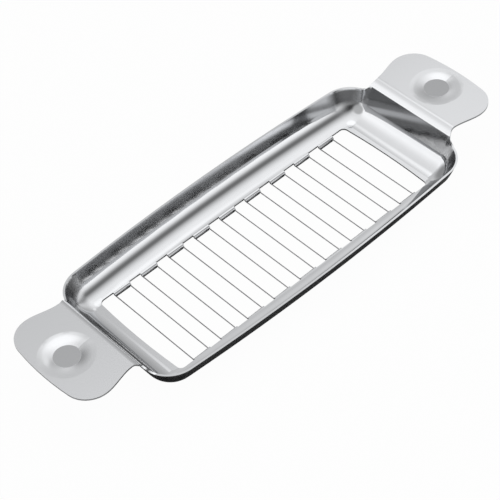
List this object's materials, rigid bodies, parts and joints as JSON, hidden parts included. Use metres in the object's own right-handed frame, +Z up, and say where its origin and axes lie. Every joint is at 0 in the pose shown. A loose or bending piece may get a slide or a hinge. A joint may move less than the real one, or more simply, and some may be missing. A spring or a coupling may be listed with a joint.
{
  "type": "wire butter slicer",
  "caption": "Stainless steel tray with a thumb-dimpled handle at each end and taut cutting wires across its open base, pressed down on butter to slice it.",
  "frame": {"origin": "on the table, under the middle of the tray, at the lower edges of the wire tabs", "axes": "+X runs along the tool from handle to handle, +Y across the tray, +Z up out of the tray"},
  "size_m": [0.2018, 0.0672, 0.0176],
  "materials": {
    "steel": "polished stainless",
    "wire": "drawn wire"
  },
  "bodies": {
    "root": {"frame": "steel", "wire_loop_1": "wire", "wire_loop_2": "wire", "wire_loop_3": "wire", "wire_loop_4": "wire", "wire_loop_5": "wire", "wire_loop_6": "wire", "wire_loop_7": "wire", "wire_loop_8": "wire", "wire_loop_9": "wire"}
  },
  "joints": []
}
